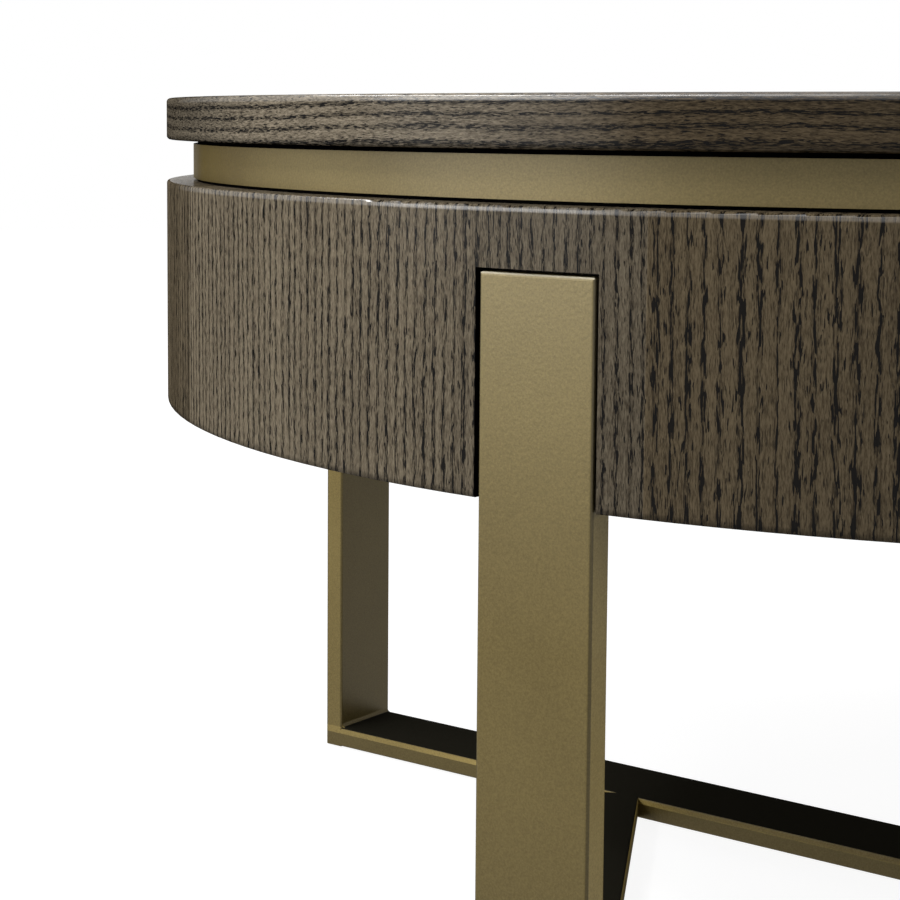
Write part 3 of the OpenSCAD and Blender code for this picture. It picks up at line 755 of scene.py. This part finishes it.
def bronze_paint(name, bronze):
    """Satin metallic paint, with painted shade and painted highlights on the legs and bars and a
    painted sheen on the band. The floor bars' upper faces are near-black.
    """
    material, tree, shader = start_material(name, Specular_IOR_Level=0.0, Coat_Roughness=0.34,
                                            Specular_Tint=(0.2, 0.2, 0.2, 1.0))
    place = coordinates(tree)
    speckle = speckled(tree, place, bronze.flake)
    share = dot(tree, (speckle["Flakes"], speckle["Cloud"]), (0.6, 0.4))
    paint = mixed(tree, share, opaque(bronze.dark), opaque(bronze.light))
    east, north, up = split(tree, place["Normal"])
    x, y, height = split(tree, place["Object"])
    away = length(tree, x, y)
    # 1 where a face looks away from the table's middle, -1 where it looks towards it
    out = over(tree, dot(tree, (x, y), (east, north)), away)
    upright = remap(tree, calc(tree, "ABSOLUTE", up), *UPRIGHT_FACE)
    # The floor bars, legs and band are told apart by their height
    on_bars = remap(tree, height, BAR_TOP + 0.8 * HAIR, BAR_TOP + 0.4 * HAIR)
    up_to_legs = remap(tree, height, LEG_TOP + 2 * HAIR, LEG_TOP + HAIR)
    on_legs = times(tree, remap(tree, height, BAR_TOP, BAR_TOP + HAIR), up_to_legs)
    on_band = remap(tree, height, DRUM_TOP - HAIR, DRUM_TOP)
    # The bars' upper arrises are eased to a broad soft edge in the normal; the same mask carries
    # their painted highlight
    eased = times(tree, remap(tree, height, *BAR_ARRIS, smooth=True), on_bars, upright)
    # Painted shade and highlights on the legs and bars; the band keeps its paint here
    shade = between(tree, on_bars, leg_painted_shading(tree, out, height), bar_painted_shading(tree, eased, away))
    shade = between(tree, on_band, shade, 1.0)
    paint = shaded(tree, paint, between(tree, upright, 1.0, shade))
    # Painted shade deepens the legs' paint at the foot and a painted highlight pales it at the
    # top; the band gets an even, faint painted sheen
    foot_painted_shade = remap(tree, height, *LEG_FOOT_PAINTED_SHADE)
    paint = shaded(tree, paint, between(tree, on_legs, 1.0, foot_painted_shade))
    highlight_share = dot(tree, (remap(tree, height, *LEG_TOP_PAINTED_LIGHT), BAND_PAINTED_SHEEN), (on_legs, on_band))
    paint = mixed(tree, highlight_share, paint, opaque(bronze.painted_highlight))
    # A painted highlight, nearly white, along the legs' upper outer arris
    crest_painted_highlight = times(tree, remap(tree, height, LEG_TOP - 0.8 * HAIR, LEG_TOP - 0.3 * HAIR),
                  up_to_legs, remap(tree, out, *LEG_OUTER))
    paint = mixed(tree, crest_painted_highlight, paint, opaque(bronze.painted_highlight))
    black = times(tree, remap(tree, up, *UPPER_FACE), on_bars)
    bright = minus(tree, 1.0, black)
    join(tree, mixed(tree, black, paint, opaque(bronze.bar_top)), shader["Base Color"])
    # At a low angle the band shows its flakes more than its paint
    turned = tree.nodes.new("ShaderNodeLayerWeight").outputs["Facing"]
    flakes = times(tree, remap(tree, turned, *BAND_FLAKES), on_band)
    join(tree, times(tree, bright, between(tree, flakes, bronze.metallic, 1.0)),
         shader["Metallic"])
    join(tree, times(tree, bright, bronze.lacquer, seen_flat(tree)), shader["Coat Weight"])
    duller = dot(tree, (speckle["Cloud"], black), (0.06, 0.2))
    join(tree, plus(tree, duller, bronze.roughness), shader["Roughness"])
    soft = combined(tree, east, north, plus(tree, up, times(tree, eased, 0.9)))
    join(tree, bumped(tree, speckle["Height"], bronze.ripple, turned_out(tree, soft)),
         shader["Normal"])
    laid_out(tree)
    return material


def black_board(name, inside):
    """Plywood painted black, rubbed a little on its faces."""
    material, tree, shader = start_material(name, Specular_IOR_Level=0.0)
    speckle = speckled(tree, coordinates(tree), 0.0006)
    share = times(tree, speckle["Flakes"], speckle["Cloud"])
    join(tree, mixed(tree, share, opaque(inside.board), opaque(inside.board, 1.8)),
         shader["Base Color"])
    join(tree, between(tree, speckle["Cloud"], 0.55, 0.72), shader["Roughness"])
    join(tree, bumped(tree, speckle["Height"], 0.00008), shader["Normal"])
    laid_out(tree)
    return material


def beech(name, inside):
    """Clear-lacquered beech: even wood with short dark flecks."""
    material, tree, shader = start_material(name, Specular_IOR_Level=0.4)
    place = coordinates(tree)["Object"]
    flecks = noise(tree, place, 900.0, detail=1.0)
    long_flecks = noise(tree, scaled(tree, place, (120.0, 700.0, 700.0)), detail=1.0)
    bands = noise(tree, scaled(tree, place, (3.0, 34.0, 34.0)), detail=3.0)
    wood = mixed(tree, remap(tree, bands, 0.35, 0.65), opaque(inside.drawer_light),
                 opaque(inside.drawer_dark))
    marks = times(tree, remap(tree, long_flecks, 0.6, 0.68), remap(tree, flecks, 0.4, 0.6))
    join(tree, mixed(tree, times(tree, marks, 0.7), wood, opaque(inside.drawer_dark, 0.62)),
         shader["Base Color"])
    join(tree, between(tree, marks, 0.42, 0.55), shader["Roughness"])
    join(tree, bumped(tree, minus(tree, long_flecks, marks), 0.0001), shader["Normal"])
    laid_out(tree)
    return material


def zinc_steel(name, inside):
    """Zinc-plated steel with faint rolling lines."""
    material, tree, shader = start_material(name, Metallic=1.0)
    place = coordinates(tree)["Object"]
    lines = noise(tree, scaled(tree, place, (1800.0, 14.0, 1800.0)), detail=2.0)
    clouds = noise(tree, place, 40.0, detail=3.0)
    join(tree, mixed(tree, spread(tree, clouds), opaque(inside.steel),
                     opaque(inside.steel, 0.72)), shader["Base Color"])
    join(tree, remap(tree, plus(tree, lines, clouds), 0.7, 1.3, 0.28, 0.46),
         shader["Roughness"])
    join(tree, bumped(tree, lines, 0.00002), shader["Normal"])
    laid_out(tree)
    return material


def moulded(name, colour, roughness):
    """Matt moulded plastic or rubber."""
    material, tree, shader = start_material(name)
    speckle = speckled(tree, coordinates(tree), 0.0004)
    join(tree, mixed(tree, speckle["Cloud"], opaque(colour), opaque(colour, 1.6)),
         shader["Base Color"])
    join(tree, between(tree, speckle["Flakes"], roughness, roughness + 0.12),
         shader["Roughness"])
    join(tree, bumped(tree, speckle["Height"], 0.00005), shader["Normal"])
    laid_out(tree)
    return material


# Pieces


def dress(material, *nodes):
    """Gives CAD nodes their finish; their shapes and places stay as they are."""
    for node in nodes:
        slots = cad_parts[node].material_slots
        if not slots:
            raise RuntimeError(f"{node} has no material slot")
        for slot in slots:
            slot.material = material


def add_object(name, data):
    obj = bpy.data.objects.new(name, data)
    bpy.context.scene.collection.objects.link(obj)
    return obj


def add_mesh(name, shape, material):
    """Turns a bmesh into an object with one material."""
    mesh = bpy.data.meshes.new(name)
    shape.to_mesh(mesh)
    shape.free()
    mesh.materials.append(material)
    return add_object(name, mesh)


class DressTop(bpy.types.Operator):
    """Give the top and its lipping their stained oak"""

    bl_idname = "coffee_table.dress_top"
    bl_label = "Top and Lipping"

    def execute(self, context):
        oak = context.scene.table_oak
        dress(material_named("Top Oak", top_oak, oak), "top_panel")
        dress(material_named("Lipping Oak", lipping_oak, oak), "top_lipping")
        return {"FINISHED"}


class DressDrum(bpy.types.Operator):
    """Give the drum wall and the drawer fronts their upright veneer"""

    bl_idname = "coffee_table.dress_drum"
    bl_label = "Drum and Drawer Fronts"

    def execute(self, context):
        dress(material_named("Drum Oak", drum_oak, context.scene.table_oak),
              "left_apron", "right_apron", "front_drawer_front", "back_drawer_front")
        return {"FINISHED"}


class DressMetalwork(bpy.types.Operator):
    """Paint the neck band, legs and floor bars in champagne bronze"""

    bl_idname = "coffee_table.dress_metalwork"
    bl_label = "Band, Legs and Floor Bars"

    def execute(self, context):
        legs = [f"{end}_{side}_leg" for end in SIDES for side in ("left", "right")]
        dress(material_named("Champagne Bronze", bronze_paint, context.scene.table_bronze),
              "neck_band", *legs, "long_floor_bar", "front_floor_bar", "back_floor_bar",
              "corner_welds")
        return {"FINISHED"}


class DressCarcass(bpy.types.Operator):
    """Finish the black boards, the spacer ring and the leg blocks"""

    bl_idname = "coffee_table.dress_carcass"
    bl_label = "Carcass"

    def execute(self, context):
        inside = context.scene.table_inside
        dress(material_named("Black Board", black_board, inside), "neck_ring", "carcass_top",
              "carcass_bottom", "left_divider", "right_divider", "cross_rail")
        dress(material_named("Drawer Beech", beech, inside), "leg_blocks")
        return {"FINISHED"}


class DressDrawers(bpy.types.Operator):
    """Finish the sides, backs and bottoms of both drawers in beech"""

    bl_idname = "coffee_table.dress_drawers"
    bl_label = "Drawer Boxes"

    def execute(self, context):
        boards = [f"{end}_drawer_{part}" for end in SIDES
                  for part in ("left_side", "right_side", "back", "bottom")]
        dress(material_named("Drawer Beech", beech, context.scene.table_inside), *boards)
        return {"FINISHED"}


class DressHardware(bpy.types.Operator):
    """Finish the runners, bolts, washers, screws, glides and bumpers"""

    bl_idname = "coffee_table.dress_hardware"
    bl_label = "Runners and Hardware"

    def execute(self, context):
        inside = context.scene.table_inside
        members = [f"{end}_runner_{part}" for end in SIDES
                   for part in ("outers", "middles", "inners")]
        dress(material_named("Zinc Steel", zinc_steel, inside),
              *members, "leg_bolts", "leg_washers", "top_screws", "bottom_screws")
        nylon_roughness, rubber_roughness = 0.42, 0.66
        dress(material_named("Black Nylon", moulded, inside.nylon, nylon_roughness),
              "floor_glides")
        dress(material_named("Bumper Rubber", moulded, inside.rubber, rubber_roughness),
              "drawer_bumpers")
        return {"FINISHED"}


# Pan head, in radii of the head: (radius, height) from the rim to the crown
HEAD_PROFILE = ((1.0, 0.0), (1.0, 0.25), (0.93, 0.42), (0.72, 0.56), (0.4, 0.62))
HEAD_SEGMENTS = 24
CROSS_ARM, CROSS_HALF_W = 0.34, 0.07
CROSS_TAPER, CROSS_FLOOR = 0.8, 0.45    # the recess's floor, as shares of its rim


def pan_head_screw(shape, place, radius):
    """Adds a pan head with a cross recess to a mesh; place maps +Z to out of the metal."""
    def corner(x, y, z):
        return shape.verts.new(place @ Vector((radius * x, radius * y, radius * z)))

    def wall(low, high):
        for k in range(len(low)):
            after = (k + 1) % len(low)
            shape.faces.new((low[k], low[after], high[after], high[k]))

    turns = [math.tau * k / HEAD_SEGMENTS for k in range(HEAD_SEGMENTS)]
    circles = [[corner(share * math.cos(turn), share * math.sin(turn), rise) for turn in turns]
               for share, rise in HEAD_PROFILE]
    for low, high in zip(circles, circles[1:]):
        wall(low, high)
    shape.faces.new(list(reversed(circles[0])))
    # Cross recess: the arms' outline dips into the crown
    arm, half, crown = CROSS_ARM, CROSS_HALF_W, HEAD_PROFILE[-1][1]
    outline = [(arm, -half), (arm, half), (half, half), (half, arm), (-half, arm), (-half, half),
               (-arm, half), (-arm, -half), (-half, -half), (-half, -arm), (half, -arm),
               (half, -half)]
    rim = [corner(x, y, crown) for x, y in outline]
    floor = [corner(CROSS_TAPER * x, CROSS_TAPER * y, CROSS_FLOOR * crown) for x, y in outline]
    wall(rim, floor)
    shape.faces.new(floor)
    pairs = [pair for ring in (circles[-1], rim) for pair in zip(ring, ring[1:] + ring[:1])]
    edges = [shape.edges.get(pair) or shape.edges.new(pair) for pair in pairs]
    bmesh.ops.triangle_fill(shape, use_beauty=True, use_dissolve=False, edges=edges)


class AddRunnerScrews(bpy.types.Operator):
    """Add the pan-head screws that hold the drawer members of the runners"""

    bl_idname = "coffee_table.add_runner_screws"
    bl_label = "Runner Screws"

    def execute(self, context):
        inside = context.scene.table_inside
        steel = material_named("Zinc Steel", zinc_steel, inside)
        for end in SIDES:
            low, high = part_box(f"{end}_runner_inners")
            middle = (low + high) / 2
            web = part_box(f"{end}_drawer_right_side")[1].x + RUNNER_SHEET
            shape = bmesh.new()
            for sign in (-1, 1):
                turn = Matrix.Rotation(sign * math.pi / 2, 4, "Y")
                for k in (-1, 0, 1):
                    spot = Vector((sign * web, middle.y + k * inside.screw_pitch, middle.z))
                    pan_head_screw(shape, Matrix.Translation(spot) @ turn, inside.screw_radius)
            bmesh.ops.recalc_face_normals(shape, faces=shape.faces)
            screws = add_mesh(f"{end}_runner_screws", shape, steel)
            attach(screws, f"{end}_drawer")
        return {"FINISHED"}


# Studio

CAMERA_PLACE = Vector((-0.47638, -1.1107, 0.42745))
CAMERA_TURN = 0.11372
CAMERA_DIP = 0.09303
CAMERA_ROLL = 0.00369
CAMERA_SHIFT = (0.10208, -0.15024)
SENSOR_W = 36.0
FLOOR_SEGMENTS = 64
NEAR_SIDE = (-0.3, -0.2, 0.33)
MIDDLE = (0.0, 0.0, 0.25)
ORIGIN = (0.0, 0.0, 0.0)

# Name, place, point aimed at, width and height, and the setting that holds the power
LAMPS = (
    ("key_softbox", (-1.1, -0.336, 0.55), NEAR_SIDE, (0.6, 0.5), "key_power"),
    ("high_softbox", (-0.881, -0.739, 1.1), NEAR_SIDE, (0.6, 0.5), "high_power"),
    ("rim_strip", (-1.55, 0.35, 1.45), (-0.35, -0.1, 0.4), (1.4, 0.14), "rim_power"),
    ("arris_strip", (-1.52, -0.49, 1.44), (-0.3, -0.25, 0.4), (1.0, 0.05), "arris_power"),
    ("right_softbox", (1.6, -1.6, 1.0), MIDDLE, (1.4, 1.2), "right_power"),
    ("back_softbox", (0.6, 2.6, 1.4), MIDDLE, (2.4, 1.6), "back_power"),
    ("top_softbox", (0.0, 0.0, 2.4), ORIGIN, (2.2, 2.2), "top_power"),
)


def softbox(name, place, target, size, power):
    lamp = bpy.data.lights.new(name, "AREA")
    lamp.shape = "RECTANGLE"
    lamp.size, lamp.size_y = size
    lamp.energy = power
    obj = add_object(name, lamp)
    obj.location = place
    aim = Vector(target) - Vector(place)
    obj.rotation_euler = aim.to_track_quat("-Z", "Y").to_euler()
    obj.visible_camera = False


def floor_paint():
    """Pale floor that shows white to the camera and keeps a light shadow."""
    material = bpy.data.materials.new("Studio Floor")
    material.use_nodes = True
    tree = material.node_tree
    tree.nodes.remove(tree.nodes["Principled BSDF"])
    seen = seen_or_mirrored(tree)
    diffuse = tree.nodes.new("ShaderNodeBsdfDiffuse")
    join(tree, mixed(tree, seen, opaque((0.2, 0.2, 0.2)), opaque((0.3, 0.3, 0.3))),
         diffuse.inputs["Color"])
    # Far from the table the floor turns as white as the room
    glow = tree.nodes.new("ShaderNodeEmission")
    x, y, _ = split(tree, coordinates(tree)["Object"])
    white = remap(tree, length(tree, x, y), 1.0, 2.8, 0.9, 1.0, smooth=True)
    join(tree, times(tree, seen, white), glow.inputs["Strength"])
    both = tree.nodes.new("ShaderNodeAddShader")
    join(tree, diffuse.outputs[0], both.inputs[0])
    join(tree, glow.outputs[0], both.inputs[1])
    join(tree, both.outputs[0], tree.nodes["Material Output"].inputs["Surface"])
    laid_out(tree)
    return material


def room_light(ambient):
    """White to the camera, in reflections and through glass, and dimmer as a light."""
    world = bpy.data.worlds.new("Studio Room")
    world.use_nodes = True
    tree = world.node_tree
    background = tree.nodes["Background"].inputs
    background["Color"].default_value = WHITE
    join(tree, between(tree, seen_or_mirrored(tree), ambient, 1.0), background["Strength"])
    laid_out(tree)
    return world


def photo_camera(focal_length):
    """Camera at the photograph's viewing angle."""
    lens = bpy.data.cameras.new("photo_camera")
    lens.lens = focal_length
    lens.sensor_width = SENSOR_W
    lens.shift_x, lens.shift_y = CAMERA_SHIFT
    camera = add_object("photo_camera", lens)
    camera.location = CAMERA_PLACE
    ahead = Vector((math.sin(CAMERA_TURN) * math.cos(CAMERA_DIP),
                    math.cos(CAMERA_TURN) * math.cos(CAMERA_DIP), -math.sin(CAMERA_DIP)))
    level = ahead.to_track_quat("-Z", "Y")
    camera.rotation_euler = (level @ Quaternion((0, 0, 1), CAMERA_ROLL)).to_euler()
    return camera


class BuildStudio(bpy.types.Operator):
    """Set up the floor, the lamps and the camera"""

    bl_idname = "coffee_table.build_studio"
    bl_label = "Studio"

    def execute(self, context):
        studio = context.scene.table_studio
        shape = bmesh.new()
        bmesh.ops.create_circle(shape, cap_ends=True, segments=FLOOR_SEGMENTS,
                                radius=studio.floor_radius)
        add_mesh("studio_floor", shape, floor_paint())
        for name, place, target, size, power in LAMPS:
            softbox(name, place, target, size, getattr(studio, power))
        context.scene.world = room_light(studio.ambient)
        context.scene.camera = photo_camera(studio.lens)
        context.scene.view_settings.view_transform = "Standard"
        return {"FINISHED"}


OPERATORS = (DressTop, DressDrum, DressMetalwork, DressCarcass, DressDrawers, DressHardware,
             AddRunnerScrews, BuildStudio)


class CoffeeTablePanel(bpy.types.Panel):
    """Finishes and studio of the coffee table"""

    bl_idname = "VIEW3D_PT_coffee_table"
    bl_label = "Coffee Table"
    bl_space_type = "VIEW_3D"
    bl_region_type = "UI"
    bl_category = "Coffee Table"

    def draw(self, context):
        scene = context.scene
        for label, group in (("Oak", scene.table_oak), ("Bronze", scene.table_bronze),
                             ("Inside", scene.table_inside), ("Studio", scene.table_studio)):
            box = self.layout.box()
            box.label(text=label)
            for name in group.bl_rna.properties.keys():
                if name not in ("rna_type", "name"):
                    box.prop(group, name)
        for operator in OPERATORS:
            self.layout.operator(operator.bl_idname)


SETTINGS = (("table_oak", OakSettings), ("table_bronze", BronzeSettings),
            ("table_inside", InsideSettings), ("table_studio", StudioSettings))
CLASSES = (*[group for _, group in SETTINGS], *OPERATORS, CoffeeTablePanel)


def register():
    for item in CLASSES:
        bpy.utils.register_class(item)
    for name, group in SETTINGS:
        setattr(bpy.types.Scene, name, PointerProperty(type=group))


def unregister():
    for name, _ in SETTINGS:
        delattr(bpy.types.Scene, name)
    for item in reversed(CLASSES):
        bpy.utils.unregister_class(item)


def main():
    register()
    for operator in OPERATORS:
        family, name = operator.bl_idname.split(".")
        getattr(getattr(bpy.ops, family), name)()


if __name__ == "__main__":
    main()
